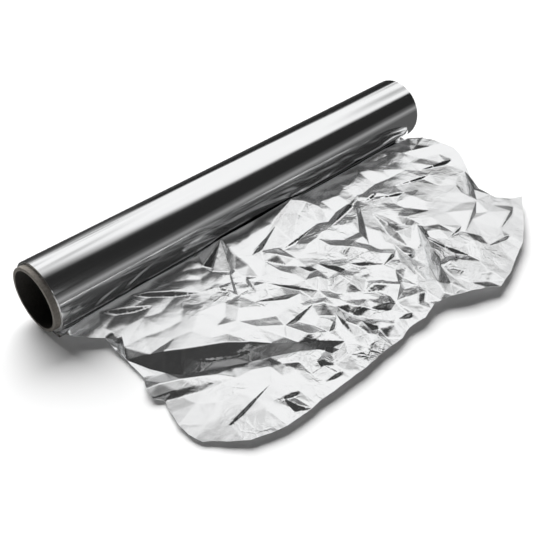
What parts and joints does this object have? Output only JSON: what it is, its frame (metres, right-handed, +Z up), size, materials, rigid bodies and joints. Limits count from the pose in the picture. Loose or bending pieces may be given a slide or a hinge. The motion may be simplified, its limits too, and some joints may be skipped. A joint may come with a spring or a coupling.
{
  "type": "aluminium foil roll",
  "caption": "Roll of household aluminium foil wound on an open cardboard tube, with its loose end lying crumpled in front of it.",
  "frame": {"origin": "under the middle of the roll's axis, on the surface that the roll and its loose end lie on", "axes": "+X along the roll's axis and its core's bore, from the end where the core stands proud; -Y the side that the loose end lies on; +Z up"},
  "size_m": [0.3053, 0.1815, 0.0418],
  "materials": {
    "core_board": "matt grey board",
    "foil": "bright rolled foil, creased at the loose end"
  },
  "bodies": {
    "root": {"core_tube": "core_board", "foil": "foil"}
  },
  "joints": []
}
